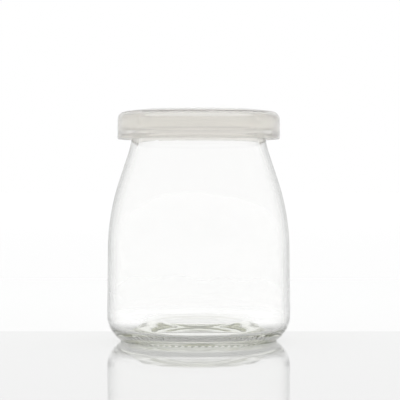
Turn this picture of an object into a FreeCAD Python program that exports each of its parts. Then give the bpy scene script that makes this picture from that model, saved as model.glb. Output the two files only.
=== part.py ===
"""Glass pudding bottle with its press-on plastic lid, as a parametric FreeCAD document.

The bottle is one turned glass wall: a rounded heel, a barely tapered side, a sloping shoulder, a hollow
neck and a thick lip. It stands on a ring of short moulded bars around a bottom that is pushed up, so that
its inside floor is a low flat-topped mound with a valley round it. The lid is one thin, slightly domed
plastic cup that sits on the rim and holds on with a bead under the lip.

Millimetres, +Z up. The origin is on the table, at the middle of the bottle.
"""

import FreeCAD, Part
import math
import os

import Sketcher
from FreeCAD import Placement, Rotation, Vector

SIZES = [
    # the glass, outside
    ("body_width", 68.6, "widest outside diameter"),
    ("jar_height", 84.35, "table to the top of the glass rim"),
    ("heel_height", 9.9, "table to where the heel's curve meets the side"),
    ("heel_radius", 11.65, "the heel's outside curve"),
    ("side_taper", 0.48, "how far the side leans in on its way to the shoulder corner"),
    ("shoulder_depth", 36.9, "rim down to the corner where side and flank would cross"),
    ("shoulder_reach", 12.4, "shoulder curve, from that corner along the side and along the flank"),
    ("throat_width", 48.6, "outside diameter that the neck's hollow curve narrows to"),
    ("neck_reach", 8.15, "neck curve, from the corner of flank and throat along the flank"),
    ("lip_overhang", 4.45, "how far the lip stands out past the throat"),
    ("lip_height", 6.35, "underside of the lip to the rim"),
    ("lip_top_round", 2.0, "outer top edge of the lip"),
    ("lip_under_round", 1.5, "outer lower edge of the lip"),
    ("under_lip_round", 1.3, "hollow corner between neck and lip"),
    ("mouth_round", 1.8, "inner top edge of the lip"),
    # the glass, inside
    ("wall", 2.4, "glass thickness of side, shoulder and flank"),
    ("neck_wall", 2.0, "throat to bore"),
    ("bore_blend", 30.0, "inside curve between flank and bore"),
    ("inside_foot", 4.2, "table to the corner where the inside of the wall meets the valley"),
    ("inside_heel", 6.0, "curve at that corner"),
    ("valley_inset", 6.3, "that corner, inwards to the bottom of the valley"),
    ("valley_height", 2.6, "table to where the two sides of the valley would meet"),
    ("valley_round", 3.0, "bottom of the valley"),
    ("mound_run", 4.8, "slope of the mound, from the valley inwards"),
    ("mound_height", 8.6, "table to the flat top of the mound"),
    ("mound_round", 4.5, "top edge of the mound"),
    # the foot
    ("push_up", 5.0, "table to the underside, at its middle"),
    ("mark_width", 15.0, "round flat that the mould's valve leaves in the underside"),
    ("mark_depth", 0.15, "how far that flat lies above the underside's middle"),
    ("ring_land", 3.6, "width of the flat ring around the push-up"),
    ("ring_edge_round", 0.5, "inner and outer edges of that ring"),
    ("bar_count", 74, "moulded bars on the ring, which the bottle stands on"),
    ("bar_height", 0.35, "how far the bars stand off the ring"),
    ("bar_length", 2.2, "a bar's flat foot, outwards"),
    ("bar_width", 0.7, "a bar's flat foot, along the ring"),
    ("bar_draft", 38.0, "slope of a bar's sides, in degrees"),
    ("bar_root", 0.3, "how deep a bar reaches into the ring"),
    # the lid
    ("lid_top", 1.2, "thickness of the lid's top"),
    ("lid_rise", 0.85, "how far the middle of the lid's top domes up"),
    ("seat_width", 3.6, "flat ring under the lid's top, from the skirt inwards, that sits on the rim"),
    ("lid_wall", 1.3, "thickness of the lid's skirt"),
    ("lid_play", 0.25, "gap between lip and skirt"),
    ("skirt_drop", 1.9, "middle of the bead down to the skirt's lower edge"),
    ("lid_top_round", 3.6, "outer top edge of the lid"),
    ("lid_inner_round", 1.6, "hollow corner under the lid's top"),
    ("lid_edge_round", 0.4, "both edges of the skirt's foot"),
    ("bead_radius", 1.0, "holding bead inside the skirt"),
    ("bead_sunk", 0.3, "how far the bead's centre lies inside the skirt's wall"),
    ("bead_drop", 0.9, "bead's centre below the underside of the lip"),
    ("gate_width", 4.6, "round dimple of the moulding gate in the lid's top"),
    ("gate_depth", 0.25, "depth of that dimple"),
]

START, END, CENTRE = 1, 2, 3
ORIGIN_POINT, UPRIGHT_AXIS = -1, -2

doc = FreeCAD.newDocument("pudding_bottle")


# ---------------------------------------------------------------- driving sizes


def make_sheet():
    """The spreadsheet that holds every driving size under its own alias."""
    sheet = doc.addObject("Spreadsheet::Sheet", "sizes")
    for row, (alias, value, meaning) in enumerate(SIZES, start=1):
        sheet.set(f"A{row}", alias)
        sheet.set(f"B{row}", str(value))
        sheet.set(f"C{row}", meaning)
        sheet.setAlias(f"B{row}", alias)
    doc.recompute()
    return sheet


sheet = make_sheet()


def size(alias):
    """A driving size's value, as the sheet holds it."""
    return float(getattr(sheet, alias))


# ---------------------------------------------------------------- sketch helpers


class Section:
    """A closed outline in a body's upright plane: x is the radius and y the height."""

    def __init__(self, body, name, plane="XZ_Plane"):
        self.sketch = body.newObject("Sketcher::SketchObject", name)
        self.sketch.AttachmentSupport = (origin_plane(body, plane), [""])
        self.sketch.MapMode = "FlatFace"
        self.chain = []

    def line(self, start, end):
        """Adds a straight edge and returns (its number, first end, last end)."""
        number = self.sketch.addGeometry(Part.LineSegment(start, end), False)
        return self._remember(number, START, END)

    def arc(self, centre, start, end, clockwise=False):
        """Adds a round edge, drawn from start to end, and returns it as line() does."""
        first, last = (end, start) if clockwise else (start, end)
        circle = Part.Circle(centre, Vector(0, 0, 1), (start - centre).Length)
        bow = Part.ArcOfCircle(circle, bearing(centre, first), bearing(centre, last))
        number = self.sketch.addGeometry(bow, False)
        return self._remember(number, *((END, START) if clockwise else (START, END)))

    def _remember(self, number, first, last):
        self.chain.append((number, first, last))
        return self.chain[-1]

    def join(self, smooth=()):
        """Ties each edge to the next, and the last to the first. The joints in smooth are tangent."""
        for here, there in zip(self.chain, self.chain[1:] + self.chain[:1]):
            kind = "Tangent" if (here, there) in smooth else "Coincident"
            self.rule(kind, here[0], here[2], there[0], there[1])

    def rule(self, kind, *terms):
        """Adds a constraint that no size drives."""
        return self.sketch.addConstraint(Sketcher.Constraint(kind, *terms))

    def drive(self, name, formula, kind, *terms):
        """Adds a dimension, named and driven by a formula of the sheet's sizes."""
        self.sketch.renameConstraint(self.rule(kind, *terms), name)
        self.sketch.setExpression(f"Constraints.{name}", formula)

    def place(self, name, point, across, up):
        """Drives a point's radius and height, where they are given, from formulas."""
        number, end = point
        spot = self.sketch.getPoint(number, end)
        if across is not None:
            self.drive(f"{name}_radius", across, "DistanceX", number, end, spot.x)
        if up is not None:
            self.drive(f"{name}_height", up, "DistanceY", number, end, spot.y)

    def helper(self, shape):
        """Adds construction geometry and returns its number."""
        return self.sketch.addGeometry(shape, True)


def origin_plane(body, role):
    """One of the body's own origin planes."""
    return next(f for f in body.Origin.OriginFeatures if f.Role == role)


def bearing(centre, point):
    """The angle of point as seen from centre."""
    return math.atan2(point.y - centre.y, point.x - centre.x)


def outward(angle):
    """The unit vector that leans above the horizontal by an angle."""
    return Vector(math.cos(angle), math.sin(angle))


def lean_of(low, high):
    """How far the line from low to high leans in from the upright."""
    return math.atan2(low.x - high.x, high.y - low.y)


def revolve(body, section, name):
    """Turns a section all the way round the upright axis."""
    turned = body.newObject("PartDesign::Revolution", name)
    turned.Profile = section.sketch
    turned.ReferenceAxis = (section.sketch, ["V_Axis"])
    turned.Angle = 360.0
    section.sketch.Visibility = False
    doc.recompute()
    return turned


def ring_edges(feature, radius, height):
    """Names of the feature's full-circle edges of that radius at that height."""
    found = []
    for number, edge in enumerate(feature.Shape.Edges, start=1):
        if edge.Degenerated or not isinstance(edge.Curve, Part.Circle):
            continue
        off_centre = (edge.Curve.Center - Vector(0, 0, height)).Length
        if max(off_centre, abs(edge.Curve.Radius - radius)) < 1e-3:
            found.append(f"Edge{number}")
    if not found:
        raise ValueError(f"{feature.Label} has no edge of radius {radius:.3f} at height {height:.3f}")
    return found


def round_off(body, base, name, alias, *rings):
    """Rounds the circular edges at the given (radius, height) pairs by one driving size."""
    fillet = body.newObject("PartDesign::Fillet", name)
    fillet.Base = (base, [edge for ring in rings for edge in ring_edges(base, *ring)])
    fillet.Radius = size(alias)
    fillet.setExpression("Radius", f"sizes.{alias}")
    doc.recompute()
    return fillet


# ---------------------------------------------------------------- the glass


def glass_outline():
    """Every point of the glass wall's section, worked out from the driving sizes."""
    p = {}
    half_body, rim = size("body_width") / 2, size("jar_height")
    throat, wall = size("throat_width") / 2, size("wall")

    # the straight legs that the outside is bent along
    p["side_foot"] = Vector(half_body, size("heel_height"))
    p["shoulder_corner"] = Vector(half_body - size("side_taper"), rim - size("shoulder_depth"))
    p["neck_corner"] = Vector(throat, rim - size("neck_reach"))
    side_lean = lean_of(p["side_foot"], p["shoulder_corner"])
    flank_lean = lean_of(p["shoulder_corner"], p["neck_corner"])
    side_out, flank_out = outward(side_lean), outward(flank_lean)
    up_side = Vector(-side_out.y, side_out.x)
    up_flank = Vector(-flank_out.y, flank_out.x)

    # foot and heel
    p["heel_centre"] = p["side_foot"] - side_out * size("heel_radius")
    drop = p["heel_centre"].y - size("bar_height")
    ring_edge = p["heel_centre"].x + math.sqrt(size("heel_radius") ** 2 - drop**2)
    p["ring_outer"] = Vector(ring_edge, size("bar_height"))
    p["ring_inner"] = p["ring_outer"] - Vector(size("ring_land"), 0)
    p["push_up_top"] = Vector(0, size("push_up"))
    rise = size("push_up") - size("bar_height")
    p["push_up_centre"] = Vector(0, size("push_up") - (p["ring_inner"].x ** 2 + rise**2) / (2 * rise))

    # shoulder, flank and neck
    reach = size("shoulder_reach")
    shoulder_radius = reach / math.tan((flank_lean - side_lean) / 2)
    p["shoulder_low"] = p["shoulder_corner"] - up_side * reach
    p["shoulder_high"] = p["shoulder_corner"] + up_flank * reach
    p["shoulder_centre"] = p["shoulder_low"] - side_out * shoulder_radius
    neck_radius = size("neck_reach") / math.tan(flank_lean / 2)
    p["neck_low"] = p["neck_corner"] - up_flank * size("neck_reach")
    p["neck_centre"] = Vector(throat + neck_radius, rim)
    under_lip = rim - size("lip_height")
    p["neck_high"] = Vector(
        p["neck_centre"].x - math.sqrt(neck_radius**2 - size("lip_height") ** 2), under_lip
    )

    # lip and bore
    lip, bore = throat + size("lip_overhang"), throat - size("neck_wall")
    p["lip_low"], p["lip_high"] = Vector(lip, under_lip), Vector(lip, rim)
    p["mouth"] = Vector(bore, rim)
    blend = size("bore_blend")
    shift = (p["shoulder_high"] - flank_out * wall) - p["neck_corner"]
    along = (bore + blend - p["neck_corner"].x - shift.x - flank_out.x * blend) / up_flank.x
    p["bore_low"] = p["neck_corner"] + shift + up_flank * along
    p["bore_centre"] = p["bore_low"] + flank_out * blend
    p["bore_high"] = Vector(bore, p["bore_centre"].y)

    # inside of the wall, valley and mound
    p["inner_flank_low"] = p["shoulder_high"] - flank_out * wall
    p["inner_side_high"] = p["shoulder_low"] - side_out * wall
    inner_side = p["side_foot"] - side_out * wall
    down = (inner_side.y - size("inside_foot")) / up_side.y
    p["inside_foot"] = inner_side - up_side * down
    valley = half_body - wall - size("valley_inset")
    p["valley"] = Vector(valley, size("valley_height"))
    p["mound_edge"] = Vector(valley - size("mound_run"), size("mound_height"))
    p["mound_top"] = Vector(0, size("mound_height"))
    return p


def glass_section(body):
    """The glass wall's section, tied so that each size in the sheet drives it."""
    p = glass_outline()
    s = Section(body, "glass_section")
    push_up = s.arc(p["push_up_centre"], p["push_up_top"], p["ring_inner"], clockwise=True)
    land = s.line(p["ring_inner"], p["ring_outer"])
    heel = s.arc(p["heel_centre"], p["ring_outer"], p["side_foot"])
    side = s.line(p["side_foot"], p["shoulder_low"])
    shoulder = s.arc(p["shoulder_centre"], p["shoulder_low"], p["shoulder_high"])
    flank = s.line(p["shoulder_high"], p["neck_low"])
    neck = s.arc(p["neck_centre"], p["neck_low"], p["neck_high"], clockwise=True)
    under = s.line(p["neck_high"], p["lip_low"])
    lip = s.line(p["lip_low"], p["lip_high"])
    rim = s.line(p["lip_high"], p["mouth"])
    bore = s.line(p["mouth"], p["bore_high"])
    blend = s.arc(p["bore_centre"], p["bore_high"], p["bore_low"])
    inner_flank = s.line(p["bore_low"], p["inner_flank_low"])
    inner_shoulder = s.arc(p["shoulder_centre"], p["inner_flank_low"], p["inner_side_high"], clockwise=True)
    inner_side = s.line(p["inner_side_high"], p["inside_foot"])
    valley = s.line(p["inside_foot"], p["valley"])
    slope = s.line(p["valley"], p["mound_edge"])
    mound = s.line(p["mound_edge"], p["mound_top"])
    s.line(p["mound_top"], p["push_up_top"])

    outside = [(heel, side), (side, shoulder), (shoulder, flank), (flank, neck)]
    inside = [(bore, blend), (blend, inner_flank), (inner_flank, inner_shoulder), (inner_shoulder, inner_side)]
    s.join(smooth=outside + inside)

    # foot
    s.rule("PointOnObject", push_up[0], CENTRE, UPRIGHT_AXIS)
    s.place("push_up", (push_up[0], push_up[1]), None, "sizes.push_up")
    s.rule("PointOnObject", push_up[0], push_up[1], UPRIGHT_AXIS)
    s.rule("Horizontal", land[0])
    s.place("ring", (land[0], END), None, "sizes.bar_height")
    s.drive("ring_land", "sizes.ring_land", "Distance", land[0], START, land[0], END, size("ring_land"))

    # heel and side
    s.drive("heel_radius", "sizes.heel_radius", "Radius", heel[0], size("heel_radius"))
    s.place("side_foot", (side[0], START), "sizes.body_width / 2", "sizes.heel_height")

    # shoulder and flank follow the two corners
    corners = s.helper(Part.LineSegment(p["shoulder_corner"], p["neck_corner"]))
    s.place(
        "shoulder_corner", (corners, START),
        "sizes.body_width / 2 - sizes.side_taper", "sizes.jar_height - sizes.shoulder_depth",
    )
    s.place("neck_corner", (corners, END), "sizes.throat_width / 2", "sizes.jar_height - sizes.neck_reach")
    s.rule("PointOnObject", corners, START, side[0])
    s.rule("PointOnObject", flank[0], START, corners)
    s.rule("PointOnObject", flank[0], END, corners)
    s.drive(
        "shoulder_reach", "sizes.shoulder_reach",
        "Distance", corners, START, flank[0], START, size("shoulder_reach"),
    )
    s.drive("neck_reach", "sizes.neck_reach", "Distance", corners, END, flank[0], END, size("neck_reach"))

    # neck and lip
    s.place("neck_centre", (neck[0], CENTRE), None, "sizes.jar_height")
    s.rule("Horizontal", under[0])
    s.rule("Vertical", lip[0])
    s.rule("Horizontal", rim[0])
    s.rule("Vertical", bore[0])
    s.place(
        "lip_low", (lip[0], START),
        "sizes.throat_width / 2 + sizes.lip_overhang", "sizes.jar_height - sizes.lip_height",
    )
    s.place("mouth", (rim[0], END), "sizes.throat_width / 2 - sizes.neck_wall", "sizes.jar_height")

    # inside
    s.drive("bore_blend", "sizes.bore_blend", "Radius", blend[0], size("bore_blend"))
    s.rule("Parallel", inner_flank[0], flank[0])
    s.rule("Parallel", inner_side[0], side[0])
    s.drive("wall", "sizes.wall", "Distance", inner_side[0], START, side[0], size("wall"))
    s.rule("Coincident", inner_shoulder[0], CENTRE, shoulder[0], CENTRE)
    valley_radius = "sizes.body_width / 2 - sizes.wall - sizes.valley_inset"
    s.place("inside_foot", (valley[0], START), None, "sizes.inside_foot")
    s.place("valley", (slope[0], START), valley_radius, "sizes.valley_height")
    s.place("mound_edge", (slope[0], END), f"{valley_radius} - sizes.mound_run", "sizes.mound_height")
    s.rule("Horizontal", mound[0])
    s.rule("PointOnObject", mound[0], END, UPRIGHT_AXIS)
    return s, p


def ring_of_bars(body, p):
    """The moulded bars that the bottle stands on, one drafted pad repeated round the ring."""
    s = Section(body, "bar_outline", "XY_Plane")
    middle = (p["ring_outer"].x + p["ring_inner"].x) / 2
    half_long, half_wide = size("bar_length") / 2, size("bar_width") / 2
    corners = [
        Vector(middle - half_long, -half_wide),
        Vector(middle + half_long, -half_wide),
        Vector(middle + half_long, half_wide),
        Vector(middle - half_long, half_wide),
    ]
    near, outer, far, inner = [s.line(a, b) for a, b in zip(corners, corners[1:] + corners[:1])]
    s.join()
    for edge in (near, far):
        s.rule("Horizontal", edge[0])
    for edge in (outer, inner):
        s.rule("Vertical", edge[0])
    s.drive("bar_length", "sizes.bar_length", "Distance", near[0], START, near[0], END, size("bar_length"))
    s.drive("bar_width", "sizes.bar_width", "Distance", outer[0], START, outer[0], END, size("bar_width"))
    s.place("bar", (near[0], START), None, "-sizes.bar_width / 2")
    ring_outer = "glass_section.Constraints.ring_outer_radius"
    inset = "(sizes.ring_land + sizes.bar_length) / 2 * 1 mm"
    s.place("bar_inner", (near[0], START), f"{ring_outer} - {inset}", None)

    bar = body.newObject("PartDesign::Pad", "bar")
    bar.Profile = s.sketch
    bar.setExpression("Length", "sizes.bar_height + sizes.bar_root")
    bar.setExpression("TaperAngle", "sizes.bar_draft")
    doc.recompute()

    around = body.newObject("PartDesign::PolarPattern", "bars")
    around.Originals = [bar]
    around.Axis = (s.sketch, ["N_Axis"])
    around.Angle = 360.0
    around.setExpression("Occurrences", "sizes.bar_count")
    body.Tip = around
    s.sketch.Visibility = False
    doc.recompute()
    return around


def round_pocket(body, name, width, depth, plane_height, height_formula, depth_formula):
    """Cuts a round flat-bottomed recess on the upright axis.

    The recess reaches from the plane at plane_height down by depth, or up where depth is negative.
    """
    outline = body.newObject("Sketcher::SketchObject", f"{name}_outline")
    outline.AttachmentSupport = (origin_plane(body, "XY_Plane"), [""])
    outline.MapMode = "FlatFace"
    outline.AttachmentOffset = Placement(Vector(0, 0, plane_height), Rotation())
    outline.setExpression("AttachmentOffset.Base.z", height_formula)
    circle = outline.addGeometry(Part.Circle(Vector(0, 0), Vector(0, 0, 1), size(width) / 2), False)
    outline.addConstraint(Sketcher.Constraint("Coincident", circle, CENTRE, ORIGIN_POINT, START))
    across = outline.addConstraint(Sketcher.Constraint("Diameter", circle, size(width)))
    outline.renameConstraint(across, width)
    outline.setExpression(f"Constraints.{width}", f"sizes.{width}")
    recess = body.newObject("PartDesign::Pocket", name)
    recess.Profile = outline
    recess.Reversed = depth < 0
    recess.setExpression("Length", depth_formula)
    outline.Visibility = False
    before = recess.BaseFeature.Shape.Volume
    doc.recompute()
    if not recess.Shape.Volume < before:
        raise RuntimeError(f"{name} cuts nothing")
    return recess


def make_glass():
    """The glass bottle, one solid."""
    body = doc.addObject("PartDesign::Body", "glass_bottle")
    body.Label = "glass_bottle"
    section, p = glass_section(body)
    ring = section.chain[1]
    reading = section.rule("DistanceX", ring[0], END, p["ring_outer"].x)
    section.sketch.renameConstraint(reading, "ring_outer_radius")
    section.sketch.setDriving(reading, False)
    wall = revolve(body, section, "glass_wall")

    rim, under_lip = size("jar_height"), size("jar_height") - size("lip_height")
    lip, bore = p["lip_high"].x, p["mouth"].x
    tip = round_off(body, wall, "neck_hollow", "under_lip_round", (p["neck_high"].x, under_lip))
    tip = round_off(body, tip, "lip_underside", "lip_under_round", (lip, under_lip))
    tip = round_off(body, tip, "lip_top", "lip_top_round", (lip, rim))
    tip = round_off(body, tip, "mouth_edge", "mouth_round", (bore, rim))
    tip = round_off(body, tip, "inside_corner", "inside_heel", (p["inside_foot"].x, p["inside_foot"].y))
    tip = round_off(body, tip, "valley_bottom", "valley_round", (p["valley"].x, p["valley"].y))
    tip = round_off(body, tip, "mound_rim", "mound_round", (p["mound_edge"].x, p["mound_edge"].y))
    ring_level = size("bar_height")
    round_off(
        body, tip, "ring_edges", "ring_edge_round",
        (p["ring_outer"].x, ring_level), (p["ring_inner"].x, ring_level),
    )
    mark_top = size("push_up") + size("mark_depth")
    round_pocket(body, "valve_mark", "mark_width", -mark_top, 0.0, "0 mm", "sizes.push_up + sizes.mark_depth")
    ring_of_bars(body, p)
    return body


# ---------------------------------------------------------------- the lid


def make_lid():
    """The press-on lid, one solid, seated on the rim."""
    body = doc.addObject("PartDesign::Body", "snap_lid")
    body.Label = "snap_lid"
    seat = size("jar_height")
    top, rise = seat + size("lid_top"), size("lid_rise")
    inner = size("throat_width") / 2 + size("lip_overhang") + size("lid_play")
    outer = inner + size("lid_wall")
    dome_edge = inner - size("seat_width")
    sink = (dome_edge**2 - rise**2) / (2 * rise)
    bead_centre = Vector(inner + size("bead_sunk"), seat - size("lip_height") - size("bead_drop"))
    foot = bead_centre.y - size("skirt_drop")
    half_chord = math.sqrt(size("bead_radius") ** 2 - size("bead_sunk") ** 2)
    bead_low, bead_high = bead_centre.y - half_chord, bead_centre.y + half_chord

    s = Section(body, "lid_section")
    skirt = s.line(Vector(outer, top), Vector(outer, foot))
    foot_line = s.line(Vector(outer, foot), Vector(inner, foot))
    low = s.line(Vector(inner, foot), Vector(inner, bead_low))
    bead = s.arc(bead_centre, Vector(inner, bead_low), Vector(inner, bead_high), clockwise=True)
    high = s.line(Vector(inner, bead_high), Vector(inner, seat))
    seat_ring = s.line(Vector(inner, seat), Vector(dome_edge, seat))
    ceiling = s.arc(Vector(0, seat - sink), Vector(dome_edge, seat), Vector(0, seat + rise))
    middle = s.line(Vector(0, seat + rise), Vector(0, top + rise))
    crown = s.arc(Vector(0, top - sink), Vector(0, top + rise), Vector(dome_edge, top), clockwise=True)
    shoulder = s.line(Vector(dome_edge, top), Vector(outer, top))
    s.join()
    for edge in (skirt, low, high):
        s.rule("Vertical", edge[0])
    for edge in (foot_line, seat_ring, shoulder):
        s.rule("Horizontal", edge[0])
    for edge, end in ((middle, START), (middle, END), (ceiling, CENTRE), (crown, CENTRE)):
        s.rule("PointOnObject", edge[0], end, UPRIGHT_AXIS)
    gap = "sizes.throat_width / 2 + sizes.lip_overhang + sizes.lid_play"
    bead_level = "sizes.jar_height - sizes.lip_height - sizes.bead_drop"
    crown_level = "sizes.jar_height + sizes.lid_top"
    s.place("seat", (seat_ring[0], END), f"{gap} - sizes.seat_width", "sizes.jar_height")
    s.place("ceiling", (middle[0], START), None, "sizes.jar_height + sizes.lid_rise")
    s.place("dome_edge", (shoulder[0], START), f"{gap} - sizes.seat_width", crown_level)
    s.place("crown", (middle[0], END), None, f"{crown_level} + sizes.lid_rise")
    s.place("foot", (skirt[0], END), f"{gap} + sizes.lid_wall", f"{bead_level} - sizes.skirt_drop")
    s.place("inner", (low[0], START), gap, None)
    s.rule("Vertical", low[0], END, high[0], START)
    s.drive("bead_radius", "sizes.bead_radius", "Radius", bead[0], size("bead_radius"))
    s.place("bead_centre", (bead[0], CENTRE), f"{gap} + sizes.bead_sunk", bead_level)
    cup = revolve(body, s, "lid_cup")

    tip = round_off(body, cup, "lid_shoulder", "lid_top_round", (outer, top))
    tip = round_off(body, tip, "lid_corner", "lid_inner_round", (inner, seat))
    round_off(body, tip, "skirt_foot", "lid_edge_round", (outer, foot), (inner, foot))
    round_pocket(
        body, "gate_mark", "gate_width", size("gate_depth"), top + rise,
        f"{crown_level} + sizes.lid_rise", "sizes.gate_depth",
    )
    return body


# ---------------------------------------------------------------- build and write


def check_objects():
    """Stops if any object of the document failed to compute."""
    for thing in doc.Objects:
        bad = {"Invalid", "Error"} & set(thing.State)
        if bad:
            raise RuntimeError(f"{thing.Label}: {sorted(bad)}")


def write_part(body):
    """Checks one piece's solid and writes it to parts/LABEL.step."""
    shape = body.Shape
    if shape.isNull() or not shape.isValid() or len(shape.Solids) != 1:
        raise RuntimeError(f"{body.Label} isn't one valid solid")
    shape.exportStep(os.path.join("parts", f"{body.Label}.step"))
    box = shape.optimalBoundingBox()
    print(f"{body.Label}: {box.XLength:.2f} x {box.YLength:.2f} x {box.ZLength:.2f} mm, "
          f"{shape.Volume / 1000:.2f} cm3, {len(shape.Faces)} faces")


pieces = [make_glass(), make_lid()]
doc.recompute()
check_objects()
os.makedirs("parts", exist_ok=True)
for piece in pieces:
    write_part(piece)
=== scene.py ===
"""Looks of an empty glass pudding bottle with its translucent press-on lid.

The bottle is one closed skin of glass, turned from its outline by Geometry Nodes: uneven on the inside, with
mould seams, a broken parting ridge under the lid and a ring of leaning bars under its foot. The lid is turned
the same way. Both stand on a glossy pale board, in a ring of tall softboxes.
"""

import logging
import math
from dataclasses import dataclass, field
from enum import Enum
from typing import Any, Callable

import bmesh
import bpy
from mathutils import Matrix, Vector


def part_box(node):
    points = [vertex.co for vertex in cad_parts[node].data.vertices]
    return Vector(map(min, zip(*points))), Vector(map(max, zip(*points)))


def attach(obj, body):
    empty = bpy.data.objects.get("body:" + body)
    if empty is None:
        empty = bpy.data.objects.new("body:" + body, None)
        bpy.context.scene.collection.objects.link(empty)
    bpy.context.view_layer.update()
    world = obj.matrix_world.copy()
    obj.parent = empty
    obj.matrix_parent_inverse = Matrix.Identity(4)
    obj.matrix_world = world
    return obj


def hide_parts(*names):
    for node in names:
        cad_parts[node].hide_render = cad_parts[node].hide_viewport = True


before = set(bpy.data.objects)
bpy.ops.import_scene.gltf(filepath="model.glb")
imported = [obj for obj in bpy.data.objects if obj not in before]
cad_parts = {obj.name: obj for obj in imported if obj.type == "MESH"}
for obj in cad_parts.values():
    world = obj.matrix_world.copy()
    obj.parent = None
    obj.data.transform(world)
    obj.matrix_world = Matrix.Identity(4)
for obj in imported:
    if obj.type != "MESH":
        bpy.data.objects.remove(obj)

log = logging.getLogger("pudding_bottle")

Rgba = tuple[float, float, float, float]

MM = 0.001
WHITE: Rgba = (1.0, 1.0, 1.0, 1.0)
BLACK: Rgba = (0.0, 0.0, 0.0, 1.0)
OUTER = "outer_skin"
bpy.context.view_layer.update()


# ------------------------------------------------------------------------------------------ node writing


class Wire:
    """An output socket whose arithmetic adds Math nodes to its tree."""

    def __init__(self, graph: "Graph", socket: bpy.types.NodeSocket) -> None:
        """Wraps one output socket of a graph."""
        self.graph = graph
        self.socket = socket

    def _math(self, operation: str, *terms: Any) -> "Wire":
        """Adds one Math node and returns its value."""
        return self.graph.node("ShaderNodeMath", {"operation": operation}, dict(enumerate(terms)))

    def __add__(self, other: Any) -> "Wire":
        """self + other."""
        return self._math("ADD", self, other)

    __radd__ = __add__

    def __sub__(self, other: Any) -> "Wire":
        """self - other."""
        return self._math("SUBTRACT", self, other)

    def __rsub__(self, other: Any) -> "Wire":
        """other - self."""
        return self._math("SUBTRACT", other, self)

    def __mul__(self, other: Any) -> "Wire":
        """self * other."""
        return self._math("MULTIPLY", self, other)

    __rmul__ = __mul__

    def __truediv__(self, other: Any) -> "Wire":
        """self / other."""
        return self._math("DIVIDE", self, other)

    def __mod__(self, other: Any) -> "Wire":
        """Remainder of self / other."""
        return self._math("FLOORED_MODULO", self, other)

    def __neg__(self) -> "Wire":
        """-self."""
        return self._math("MULTIPLY", self, -1.0)

    def __abs__(self) -> "Wire":
        """The size of self without its sign."""
        return self._math("ABSOLUTE", self)

    def floor(self) -> "Wire":
        """The whole number below self."""
        return self._math("FLOOR", self)

    def cos(self) -> "Wire":
        """Cosine of self, in radians."""
        return self._math("COSINE", self)

    def sin(self) -> "Wire":
        """Sine of self, in radians."""
        return self._math("SINE", self)

    def bearing_from(self, across: "Wire") -> "Wire":
        """The angle whose sine is in proportion to self and whose cosine is to across."""
        return self._math("ARCTAN2", self, across)

    def ease(self, low: float, high: float) -> "Wire":
        """Turns a stretch of values into a soft step.

        Args:
            low: the value up to which the step is 0.
            high: the value from which it is 1.

        Returns:
            The step, between 0 and 1.
        """
        settings = {"interpolation_type": "SMOOTHSTEP"}
        sockets = {"Value": self, "From Min": low, "From Max": high}
        return self.graph.node("ShaderNodeMapRange", settings, sockets)


class Graph:
    """A node tree, written through one method."""

    def __init__(self, tree: bpy.types.NodeTree) -> None:
        """Takes over a tree and empties it."""
        self.tree = tree
        tree.nodes.clear()

    def node(self, kind: str, settings: dict[str, Any] | None = None,
             sockets: dict[Any, Any] | None = None, output: Any = 0) -> Wire:
        """Adds a node.

        Args:
            kind: the node's type, as Blender names it.
            settings: the node's own properties, set first.
            sockets: input sockets by name or number, each a plain value or a Wire.
            output: the name or number of the output socket to return.

        Returns:
            The chosen output, or the node's first input where it has no output.
        """
        made = self.tree.nodes.new(kind)
        for name, value in (settings or {}).items():
            setattr(made, name, value)
        for name, value in (sockets or {}).items():
            socket = made.inputs[name]
            if isinstance(value, Wire):
                self.tree.links.new(value.socket, socket)
            else:
                socket.default_value = value
        pool = made.outputs if made.outputs else made.inputs
        return Wire(self, pool[output])

    def outputs(self, wire: Wire) -> Callable[[str], Wire]:
        """Returns a function that gives the other outputs of the node that wire comes from, by name."""
        return lambda name: Wire(self, wire.socket.node.outputs[name])

    def noise(self, where: Wire, scale: float, detail: float = 2.0, roughness: float = 0.5) -> Wire:
        """Soft three-dimensional noise around 0.5."""
        sockets = {"Vector": where, "Scale": scale, "Detail": detail, "Roughness": roughness}
        return self.node("ShaderNodeTexNoise", {"noise_dimensions": "3D"}, sockets)

    def blend(self, share: Wire | float, first: Any, second: Any) -> Wire:
        """A colour between first and second."""
        sockets = {0: share, 6: first, 7: second}
        return self.node("ShaderNodeMix", {"data_type": "RGBA"}, sockets, 2)


def new_material(name: str) -> tuple[bpy.types.Material, Graph]:
    """Makes a material and the empty graph of its nodes."""
    made = bpy.data.materials.new(name)
    made.use_nodes = True
    return made, Graph(made.node_tree)


# ------------------------------------------------------------------------------------------ outlines


class Zone(Enum):
    """What a stretch of outline is, for what the turning adds to it."""

    PLAIN = "plain"
    FOOT = "foot"
    OUTSIDE = "outside"
    INSIDE = "inside"


@dataclass(frozen=True)
class Corner:
    """One corner of an outline, in millimetres: radius, height and how it is rounded off.

    The zone names the stretch that ends at this corner.
    """

    across: float
    up: float
    round: float = 0.0
    zone: Zone = Zone.PLAIN

    @property
    def place(self) -> Vector:
        """The corner as a point of the section."""
        return Vector((self.across, 0.0, self.up))


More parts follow.
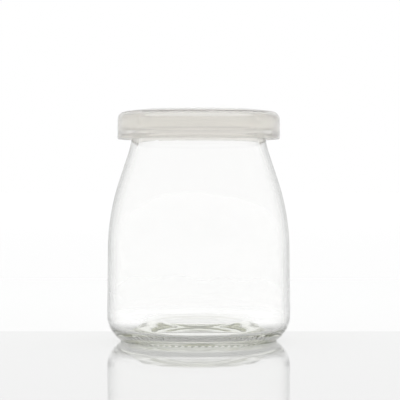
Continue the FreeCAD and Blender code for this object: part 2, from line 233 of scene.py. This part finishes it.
@dataclass
class Outline:
    """Half of a turned piece's section: straight stretches joined by round corners.

    A step along it is at most `longest` millimetres long, and a round corner bends by at most about `turn`
    degrees at each step.
    """

    corners: list[Corner]
    longest: float = 1.6
    turn: float = 9.0

    def points(self) -> list[tuple[Vector, Zone]]:
        """Works the outline's points out.

        Returns:
            Points (radius, 0, height) in millimetres with the zone of each, close together where it bends.
        """
        self._check()
        first, last = self.corners[0], self.corners[-1]
        found = [(first.place, self.corners[1].zone)]
        for before, here, after in zip(self.corners, self.corners[1:], self.corners[2:]):
            for spot in self._bend(before, here, after):
                self._reach(found, spot, here.zone)
        self._reach(found, last.place, last.zone)
        return found

    def _check(self) -> None:
        """Stops where two round corners need more than the stretch between them."""
        taken = [0.0]
        for before, here, after in zip(self.corners, self.corners[1:], self.corners[2:]):
            back, on = before.place - here.place, after.place - here.place
            taken.append(here.round / math.tan(back.angle(on) / 2))
        taken.append(0.0)
        for number, (here, there) in enumerate(zip(self.corners, self.corners[1:])):
            room = (there.place - here.place).length - taken[number] - taken[number + 1]
            if room < 0:
                raise ValueError(f"the corners {here} and {there} overlap by {-room:.2f} mm")

    def _reach(self, found: list[tuple[Vector, Zone]], spot: Vector, zone: Zone) -> None:
        """Goes straight from the last point found to the next, in steps no longer than the longest.

        Args:
            found: the points so far, with their zones, to which the new ones are added.
            spot: the point to reach.
            zone: what the stretch is.
        """
        start = found[-1][0].copy()
        steps = max(1, math.ceil((spot - start).length / self.longest))
        for step in range(1, steps + 1):
            found.append((start.lerp(spot, step / steps), zone))

    def _bend(self, before: Corner, here: Corner, after: Corner) -> list[Vector]:
        """Rounds one corner off.

        Args:
            before: the corner before it.
            here: the corner to round off.
            after: the corner after it.

        Returns:
            Points of the arc, or the corner itself if it is sharp.
        """
        corner = here.place
        if here.round <= 0:
            return [corner]
        back, on = (before.place - corner).normalized(), (after.place - corner).normalized()
        half = back.angle(on) / 2
        centre = corner + (back + on).normalized() * here.round / math.sin(half)
        spoke = corner + back * here.round / math.tan(half) - centre
        swing = (2 * half - math.pi) * math.copysign(1.0, back.cross(on).y)
        by_turn, by_length = abs(math.degrees(swing)) / self.turn, abs(swing) * here.round / self.longest
        steps = max(2, math.ceil(by_turn), math.ceil(by_length))
        turns = (Matrix.Rotation(swing * step / steps, 3, "Y") for step in range(steps + 1))
        return [centre + turned @ spoke for turned in turns]


# ------------------------------------------------------------------------------------------ turning


@dataclass
class Lathe:
    """A Geometry Nodes tree that turns an outline into a closed skin.

    Lengths are in millimetres. The bars hang from the ring under the foot, four seams run up the outside, the
    parting is a ridge round it that comes and goes, and the waviness makes the inside uneven.
    """

    name: str
    steps: int
    bars: int = 0
    bar_height: float = 0.0
    bar_share: float = 0.5
    bar_lean: float = 0.0
    bar_circle: float = 28.0
    bar_edge: float = 0.28
    waviness: float = 0.0
    wave_scale: float = 0.055
    wave_gain: float = 4.0
    even_middle: float = 12.0
    parting: float = 0.0
    parting_level: float = 0.0
    parting_band: tuple[float, float] = (0.2, 0.7)
    parting_scale: float = 0.45
    parting_breaks: tuple[float, float] = (0.56, 0.64)
    seam: float = 0.0
    seam_width: float = 1.1
    seed: int = 3
    wave_seed: float = 7.3
    parting_seed: float = 3.1
    merge: float = 1e-6

    def inputs(self) -> dict[str, tuple[str, Any]]:
        """The tree's named inputs, each with its socket type and value. Lengths are in millimetres."""
        return {
            "Steps": ("NodeSocketInt", self.steps),
            "Bars": ("NodeSocketInt", self.bars),
            "Bar height": ("NodeSocketFloat", self.bar_height),
            "Bar share": ("NodeSocketFloat", self.bar_share),
            "Bar lean": ("NodeSocketFloat", self.bar_lean),
            "Waviness": ("NodeSocketFloat", self.waviness),
            "Parting": ("NodeSocketFloat", self.parting),
            "Parting level": ("NodeSocketFloat", self.parting_level),
            "Seam": ("NodeSocketFloat", self.seam),
            "Seed": ("NodeSocketInt", self.seed),
        }

    def turn(self, outline: Outline, material: bpy.types.Material) -> bpy.types.Object:
        """Turns an outline.

        Args:
            outline: the section to turn round the upright axis.
            material: what the skin is made of.

        Returns:
            The piece as a plain mesh, in metres, at the origin.
        """
        mesh = self._outline_mesh(outline)
        piece = bpy.data.objects.new(self.name, mesh)
        bpy.context.scene.collection.objects.link(piece)
        tree = self._tree(material)
        modifier = piece.modifiers.new("turning", "NODES")
        modifier.node_group = tree
        for item in tree.interface.items_tree:
            if item.item_type == "SOCKET" and item.in_out == "INPUT" and item.name in self.inputs():
                modifier[item.identifier] = self.inputs()[item.name][1]
        bpy.context.view_layer.update()
        graph = bpy.context.evaluated_depsgraph_get()
        turned = bpy.data.meshes.new_from_object(piece.evaluated_get(graph))
        piece.modifiers.remove(modifier)
        piece.data = turned
        turned.name = self.name
        bpy.data.meshes.remove(mesh)
        self._face_out(turned)
        return piece

    def _outline_mesh(self, outline: Outline) -> bpy.types.Mesh:
        """Writes an outline as a chain of edges.

        Args:
            outline: the section to write.

        Returns:
            A mesh in millimetres, whose points carry a weight for each zone.
        """
        points = outline.points()
        mesh = bpy.data.meshes.new(self.name + "_outline")
        edges = [(number, number + 1) for number in range(len(points) - 1)]
        mesh.from_pydata([spot for spot, _ in points], edges, [])
        for zone in Zone:
            weight = mesh.attributes.new(zone.value, "FLOAT", "POINT")
            weight.data.foreach_set("value", [float(own is zone) for _, own in points])
        return mesh

    def _face_out(self, mesh: bpy.types.Mesh) -> None:
        """Turns a closed skin's faces outwards.

        Args:
            mesh: the skin, which is changed.
        """
        skin = bmesh.new()
        skin.from_mesh(mesh)
        bmesh.ops.recalc_face_normals(skin, faces=skin.faces)
        if skin.calc_volume(signed=True) < 0:
            bmesh.ops.reverse_faces(skin, faces=skin.faces)
        skin.to_mesh(mesh)
        skin.free()

    def _tree(self, material: bpy.types.Material) -> bpy.types.NodeTree:
        """Builds the tree: a grid whose columns are copies of the outline, wrapped round the axis.

        Args:
            material: what the skin is made of.

        Returns:
            The tree, which takes the outline and the named inputs and gives the skin.
        """
        tree = bpy.data.node_groups.new(self.name + "_turning", "GeometryNodeTree")
        tree.interface.new_socket("Outline", in_out="INPUT", socket_type="NodeSocketGeometry")
        for name, (kind, value) in self.inputs().items():
            tree.interface.new_socket(name, in_out="INPUT", socket_type=kind).default_value = value
        tree.interface.new_socket("Skin", in_out="OUTPUT", socket_type="NodeSocketGeometry")
        graph = Graph(tree)
        outline = graph.node("NodeGroupInput")
        given = graph.outputs(outline)

        rows = graph.node("GeometryNodeAttributeDomainSize", {"component": "MESH"}, {0: outline})
        sockets = {"Vertices X": given("Steps") + 1, "Vertices Y": rows}
        grid = graph.node("GeometryNodeMeshGrid", None, sockets)
        index = graph.node("GeometryNodeInputIndex")
        row = index % rows
        angle = (index / rows).floor() / given("Steps") * math.tau

        def on_row(kind: str, value: Wire) -> Wire:
            """The outline's own value at this point's row."""
            sockets = {"Geometry": outline, "Value": value, "Index": row}
            return graph.node("GeometryNodeSampleIndex", {"data_type": kind, "domain": "POINT"}, sockets)

        def weight(zone: Zone) -> Wire:
            """1 on the rows of a zone and 0 elsewhere."""
            sockets = {"Name": zone.value}
            named = graph.node("GeometryNodeInputNamedAttribute", {"data_type": "FLOAT"}, sockets)
            return on_row("FLOAT", named)

        section = on_row("FLOAT_VECTOR", graph.node("GeometryNodeInputPosition"))
        radius = graph.node("ShaderNodeSeparateXYZ", None, {0: section})
        height = graph.outputs(radius)("Z")
        sockets = {0: radius * angle.cos(), 1: radius * angle.sin(), 2: height}
        around = graph.node("ShaderNodeCombineXYZ", None, sockets)

        def seeded(scale: float, detail: float, step: float) -> Wire:
            """Noise round the piece that the seed picks."""
            sockets = {"Vector": around, "W": given("Seed") * step, "Scale": scale, "Detail": detail}
            return graph.node("ShaderNodeTexNoise", {"noise_dimensions": "4D"}, sockets)

        swells = seeded(self.wave_scale, 1.0, self.wave_seed)
        breaks = seeded(self.parting_scale, 2.0, self.parting_seed)

        lean = (radius - self.bar_circle) * given("Bar lean") / self.bar_circle
        phase = (angle + lean) * given("Bars")
        bar = (phase.cos() * 0.5 + 0.5 - given("Bar share")).ease(-self.bar_edge, self.bar_edge)
        bar_drop = bar * weight(Zone.FOOT) * given("Bar height")
        seam_line = (abs((angle * 2.0).sin()) * radius).ease(0.0, self.seam_width)
        seam_rise = (1.0 - seam_line) * weight(Zone.OUTSIDE) * given("Seam")
        part_line = 1.0 - abs(height - given("Parting level")).ease(*self.parting_band)
        part_line = part_line * breaks.ease(*self.parting_breaks)
        part_rise = part_line * weight(Zone.OUTSIDE) * given("Parting")
        wave = (swells - 0.5) * weight(Zone.INSIDE) * given("Waviness") * self.wave_gain
        swell = radius + seam_rise + part_rise + wave * radius.ease(0.0, self.even_middle)
        sockets = {0: swell * angle.cos() * MM, 1: swell * angle.sin() * MM, 2: (height - bar_drop) * MM}
        place = graph.node("ShaderNodeCombineXYZ", None, sockets)

        settings = {"data_type": "FLOAT", "domain": "POINT"}
        sockets = {"Geometry": grid, "Name": OUTER, "Value": weight(Zone.OUTSIDE)}
        grid = graph.node("GeometryNodeStoreNamedAttribute", settings, sockets)
        skin = graph.node("GeometryNodeSetPosition", None, {"Geometry": grid, "Position": place})
        skin = graph.node("GeometryNodeMergeByDistance", None, {"Geometry": skin, "Distance": self.merge})
        skin = graph.node("GeometryNodeSetShadeSmooth", None, {"Geometry": skin})
        skin = graph.node("GeometryNodeRealizeInstances", None, {"Geometry": skin})
        skin = graph.node("GeometryNodeSetMaterial", None, {"Geometry": skin, "Material": material})
        graph.node("NodeGroupOutput", None, {0: skin})
        return tree


# ------------------------------------------------------------------------------------------ finishes


@dataclass(frozen=True)
class ClearGlass:
    """Soda-lime glass, smooth from the mould, tinted where it is thick, with painted shade greying the body's
    outer edges where they are seen aslant.
    """

    ior: float = 1.52
    tint: Rgba = (0.64, 0.67, 0.50, 1.0)
    density: float = 8.0
    ripple: float = 0.02
    ripple_scale: float = 60.0
    smear: float = 0.02
    smear_scale: float = 45.0
    # painted shade: the grey the body's outer edges take where seen aslant, the facing band over which it
    # comes in, and the heights above the foot where it shows
    painted_edge_shade: Rgba = (0.26, 0.27, 0.265, 1.0)
    painted_edge_band: tuple[float, float] = (0.45, 0.9)
    painted_edge_foot: tuple[float, float] = (0.002, 0.007)
    shadow: Rgba = (0.95, 0.955, 0.945, 1.0)

    def material(self) -> bpy.types.Material:
        """Builds the finish.

        Returns:
            The material, under the name of its slot.
        """
        made, graph = new_material("clear_glass")
        where = graph.outputs(graph.node("ShaderNodeTexCoord"))("Object")
        ripple = graph.noise(where, self.ripple_scale, 1.0)
        sockets = {"Strength": self.ripple, "Distance": MM, "Height": ripple}
        bump = graph.node("ShaderNodeBump", None, sockets)
        smear = graph.noise(where, self.smear_scale, 3.0, 0.6).ease(0.55, 0.75)
        outer = graph.outputs(graph.node("ShaderNodeAttribute", {"attribute_name": OUTER}))("Fac")
        grazing = graph.outputs(graph.node("ShaderNodeLayerWeight", None, {"Blend": 0.5}))("Facing")
        height = graph.outputs(graph.node("ShaderNodeSeparateXYZ", None, {0: where}))("Z")
        # painted shade: the base colour greys where the outer skin is seen aslant, above the foot, standing
        # in for dark edges
        rim = grazing.ease(*self.painted_edge_band) * outer * height.ease(*self.painted_edge_foot)
        glass = graph.node("ShaderNodeBsdfPrincipled", None, {
            "Base Color": graph.blend(rim, WHITE, self.painted_edge_shade),
            "Roughness": smear * self.smear, "IOR": self.ior,
            "Transmission Weight": 1.0, "Normal": bump,
        })
        clear = graph.node("ShaderNodeBsdfTransparent", None, {"Color": self.shadow})
        shadow = graph.outputs(graph.node("ShaderNodeLightPath"))("Is Shadow Ray")
        skin = graph.node("ShaderNodeMixShader", None, {0: shadow, 1: glass, 2: clear})
        sockets = {"Color": self.tint, "Density": self.density}
        inside = graph.node("ShaderNodeVolumeAbsorption", None, sockets)
        graph.node("ShaderNodeOutputMaterial", None, {"Surface": skin, "Volume": inside})
        return made


@dataclass(frozen=True)
class MilkyPlastic:
    """Natural translucent plastic, satin and faintly cloudy, which lets light through and blurs it."""

    ior: float = 1.5
    base: Rgba = (0.955, 0.941, 0.912, 1.0)
    shade: Rgba = (0.941, 0.922, 0.893, 1.0)
    cloud_scale: float = 90.0
    roughness: float = 0.09
    cloud_roughness: float = 0.06
    grain: float = 0.08
    grain_scale: float = 1400.0
    grain_depth: float = 0.0005
    clearness: float = 0.85
    shadow: Rgba = (0.94, 0.93, 0.91, 1.0)

    def material(self) -> bpy.types.Material:
        """Builds the finish.

        Returns:
            The material, under the name of its slot.
        """
        made, graph = new_material("milky_plastic")
        where = graph.outputs(graph.node("ShaderNodeTexCoord"))("Object")
        cloud = graph.noise(where, self.cloud_scale, 3.0)
        grain = graph.noise(where, self.grain_scale, 2.0)
        sockets = {"Strength": self.grain, "Distance": self.grain_depth, "Height": grain}
        bump = graph.node("ShaderNodeBump", None, sockets)
        plastic = graph.node("ShaderNodeBsdfPrincipled", None, {
            "Base Color": graph.blend(cloud, self.base, self.shade),
            "Roughness": self.roughness + cloud * self.cloud_roughness, "IOR": self.ior,
            "Transmission Weight": self.clearness, "Normal": bump,
        })
        clear = graph.node("ShaderNodeBsdfTransparent", None, {"Color": self.shadow})
        shadow = graph.outputs(graph.node("ShaderNodeLightPath"))("Is Shadow Ray")
        skin = graph.node("ShaderNodeMixShader", None, {0: shadow, 1: plastic, 2: clear})
        graph.node("ShaderNodeOutputMaterial", None, {"Surface": skin})
        return made


# ------------------------------------------------------------------------------------------ pieces


@dataclass
class Bottle:
    """The glass bottle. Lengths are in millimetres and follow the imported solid's box."""

    node: str = "glass_bottle"
    slot: str = "clear_glass"
    wall: float = 2.4
    floor: float = 8.6
    floor_reach: float = 20.8
    valley_reach: float = 25.6
    valley_level: float = 2.6
    push_up: float = 5.0
    push_up_round: float = 68.0
    heel_level: float = 4.0
    heel_round: float = 11.3
    inner_heel_round: float = 5.75
    taper: float = 0.48
    shoulder_level: float = 47.4
    shoulder_round: float = 82.8
    neck_reach: float = 25.3
    neck_level: float = 73.2
    neck_round: float = 33.0
    throat: float = 24.7
    lip_reach: float = 28.75
    lip_height: float = 6.35
    bore: float = 22.3
    bore_depth: float = 9.5
    lathe: Lathe = field(default_factory=lambda: Lathe(
        "bottle_glass", steps=444, bars=74, bar_height=0.5, bar_share=0.52, bar_lean=6.0,
        waviness=0.03, parting=0.07, parting_level=73.5, seam=0.04,
    ))

    def outline(self) -> Outline:
        """Draws the glass wall's section.

        Returns:
            The outline from under the foot, up the outside, over the lip and down the inside.
        """
        low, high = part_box(self.node)
        body, rim = (high.x - low.x) / 2 / MM, high.z / MM
        bars = self.lathe.bar_height
        under_lip = rim - self.lip_height
        outside, inside = Zone.OUTSIDE, Zone.INSIDE
        return Outline([
            Corner(0.0, self.push_up),
            Corner(6.4, 4.80, 1.0),
            Corner(8.2, 4.50, 1.0),
            Corner(17.0, 3.70, self.push_up_round),
            Corner(body - 8.33, bars, 0.5),
            Corner(body - 7.8, bars, 0.0),
            Corner(body - 5.35, bars, 0.0, Zone.FOOT),
            Corner(body - 5.0, bars, 0.2),
            Corner(body + 0.03, self.heel_level, self.heel_round, outside),
            Corner(body - self.taper, self.shoulder_level, self.shoulder_round, outside),
            Corner(self.neck_reach, self.neck_level, self.neck_round, outside),
            Corner(self.throat, under_lip, 1.3),
            Corner(self.lip_reach, under_lip, 1.5),
            Corner(self.lip_reach, rim, 2.0),
            Corner(self.bore, rim, 1.8),
            Corner(self.bore, rim - self.bore_depth, 30.0),
            Corner(31.4, self.shoulder_level + 0.2, self.shoulder_round - self.wall, inside),
            Corner(body - self.wall, self.heel_level + 0.2, self.inner_heel_round, inside),
            Corner(self.valley_reach, self.valley_level, 3.0, inside),
            Corner(self.floor_reach, self.floor, 4.5, inside),
            Corner(0.0, self.floor, 0.0, inside),
        ])

    def build(self) -> bpy.types.Object:
        """Turns the skin and hands it to the frame.

        Returns:
            The finished piece.
        """
        piece = self.lathe.turn(self.outline(), ClearGlass().material())
        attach(piece, "root")
        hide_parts(self.node)
        return piece


@dataclass
class Lid:
    """The press-on lid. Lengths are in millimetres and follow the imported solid's box."""

    node: str = "snap_lid"
    slot: str = "milky_plastic"
    top: float = 1.2
    rise: float = 0.85
    wall: float = 1.3
    bead: float = 0.3
    bead_level: float = 1.9
    bead_reach: float = 1.0
    gate_depth: float = 0.25
    dome_flat: float = 21.0
    dome_reach: float = 27.4
    edge_drop: float = 0.35
    edge_round: float = 3.0
    longest: float = 1.2
    lathe: Lathe = field(default_factory=lambda: Lathe("lid_plastic", steps=384))

    def outline(self) -> Outline:
        """Draws the lid's section.

        Returns:
            The outline from the middle of the top, down the skirt and back under the top.
        """
        low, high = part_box(self.node)
        outer = (high.x - low.x) / 2 / MM
        inner = outer - self.wall
        foot, crown = low.z / MM, high.z / MM - 0.003
        top = crown - self.rise
        seat = top - self.top
        return Outline([
            Corner(0.0, crown - self.gate_depth),
            Corner(2.3, crown - self.gate_depth, 0.15),
            Corner(2.5, crown, 0.2),
            Corner(self.dome_flat, crown, 25.0),
            Corner(self.dome_reach, top + 0.05, 4.0),
            Corner(outer, top - self.edge_drop, self.edge_round),
            Corner(outer, foot, 0.4),
            Corner(inner, foot, 0.4),
            Corner(inner, foot + self.bead_level - self.bead_reach, 0.6),
            Corner(inner - self.bead, foot + self.bead_level, 0.5),
            Corner(inner, foot + self.bead_level + self.bead_reach, 0.6),
            Corner(inner, seat, 1.6),
            Corner(25.4, seat, 4.0),
            Corner(17.0, seat + self.rise, 40.0),
            Corner(0.0, seat + self.rise),
        ], longest=self.longest)

    def build(self) -> bpy.types.Object:
        """Turns the lid and hands it to the frame.

        Returns:
            The finished piece.
        """
        piece = self.lathe.turn(self.outline(), MilkyPlastic().material())
        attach(piece, "root")
        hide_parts(self.node)
        return piece


# ------------------------------------------------------------------------------------------ studio


@dataclass
class Studio:
    """The board that the bottle stands on, the light round it and the camera. Metres."""

    board_reach: float = 6.0
    board_grey: Rgba = (0.88, 0.88, 0.88, 1.0)
    board_glow: float = 0.07
    glow_fade: float = 1.2
    patch_back: tuple[float, float] = (0.038, 0.044)
    patch_side: tuple[float, float] = (0.10, 0.16)
    patch_front: tuple[float, float] = (0.22, 0.32)
    panels: int = 8
    gap_light: float = 0.68
    high_light: float = 0.70
    top_light: float = 1.25
    evenness: float = 0.9
    camera_side: float = 0.0005
    camera_distance: float = 0.70
    camera_height: float = 0.0615
    aim_height: float = 0.05253
    lens: float = 168.5
    sensor: float = 36.0

    def board(self) -> bpy.types.Object:
        """Lays the glossy pale board, which reaches far past what shows.

        Returns:
            The board, which is stage and no part of the bottle.
        """
        mesh = bpy.data.meshes.new("board")
        reach = self.board_reach
        corners = [(-reach, -reach, 0), (reach, -reach, 0), (reach, reach, 0), (-reach, reach, 0)]
        mesh.from_pydata(corners, [], [(0, 1, 2, 3)])
        board = bpy.data.objects.new("board", mesh)
        bpy.context.scene.collection.objects.link(board)
        board.data.materials.append(self._board_material())
        return board

    def _board_material(self) -> bpy.types.Material:
        """Builds the board's finish: pale and glossy, with a faint glow except in a patch round the bottle.

        Returns:
            The material.
        """
        made, graph = new_material("pale_board")
        where = graph.outputs(graph.node("ShaderNodeTexCoord"))("Object")
        part = graph.outputs(graph.node("ShaderNodeSeparateXYZ", None, {0: where}))
        across, along = abs(part("X")), part("Y")
        patch = 1.0 - along.ease(*self.patch_back)
        patch = patch * (1.0 - across.ease(*self.patch_side)) * (1.0 - (-along).ease(*self.patch_front))
        away = graph.node("ShaderNodeVectorMath", {"operation": "LENGTH"}, {0: where}, "Value")
        glow = (1.0 - patch) * self.board_glow / (1.0 + away * self.glow_fade)
        board = graph.node("ShaderNodeBsdfPrincipled", None, {
            "Base Color": self.board_grey, "Roughness": 0.03, "IOR": 1.45,
            "Emission Color": graph.blend(glow, BLACK, WHITE), "Emission Strength": 1.0,
        })
        graph.node("ShaderNodeOutputMaterial", None, {"Surface": board})
        return made

    def light(self) -> None:
        """A ring of tall softboxes with dimmer gaps, a dimmer band above it and a top light.

        The camera sees it as plain white, and so, nearly, do reflections.
        """
        world = bpy.data.worlds.new("studio")
        bpy.context.scene.world = world
        world.use_nodes = True
        graph = Graph(world.node_tree)
        where = graph.outputs(graph.node("ShaderNodeTexCoord"))("Generated")
        part = graph.outputs(graph.node("ShaderNodeSeparateXYZ", None, {0: where}))
        bearing = part("Y").bearing_from(part("X"))
        path = graph.outputs(graph.node("ShaderNodeLightPath"))
        panel = (bearing * float(self.panels)).cos().ease(-0.35, 0.45)
        ring = self.gap_light + panel * (1.0 - self.gap_light)
        ring = ring + (1.0 - ring) * (1.0 - part("Z").ease(0.05, 0.25))
        high, top = part("Z").ease(0.4, 0.6), part("Z").ease(0.8, 0.9)
        level = ring + (self.high_light - ring) * high + (self.top_light - self.high_light) * top
        even = path("Is Camera Ray") + path("Is Glossy Ray") * self.evenness
        strength = level + (1.0 - level) * even
        back = graph.node("ShaderNodeBackground", None, {"Color": WHITE, "Strength": strength})
        graph.node("ShaderNodeOutputWorld", None, {"Surface": back})

    def deepen(self) -> None:
        """Lets light bounce often enough to find its way out of thick glass."""
        cycles = bpy.context.scene.cycles
        cycles.max_bounces = 48
        cycles.transmission_bounces = 40
        cycles.glossy_bounces = 32
        cycles.diffuse_bounces = 24
        cycles.transparent_max_bounces = 24

    def camera(self) -> bpy.types.Object:
        """Sets up a long lens, level with the upper half of the bottle and aimed slightly down.

        Returns:
            The scene's camera.
        """
        data = bpy.data.cameras.new("camera")
        data.lens = self.lens
        data.sensor_width = self.sensor
        data.clip_start = 0.01
        camera = bpy.data.objects.new("camera", data)
        bpy.context.scene.collection.objects.link(camera)
        camera.location = (self.camera_side, -self.camera_distance, self.camera_height)
        aim = Vector((self.camera_side, 0.0, self.aim_height))
        camera.rotation_euler = (aim - camera.location).to_track_quat("-Z", "Y").to_euler()
        bpy.context.scene.camera = camera
        return camera


def main() -> None:
    """Builds the studio and the two pieces."""
    logging.basicConfig(level=logging.INFO, format="%(name)s: %(message)s")
    bpy.context.scene.view_settings.view_transform = "Standard"
    studio = Studio()
    studio.camera()
    studio.deepen()
    studio.light()
    studio.board()
    for maker in (Bottle(), Lid()):
        piece = maker.build()
        triangles = sum(len(face.vertices) - 2 for face in piece.data.polygons)
        log.info("%s: %d points, %d triangles", piece.name, len(piece.data.vertices), triangles)


if __name__ == "__main__":
    main()
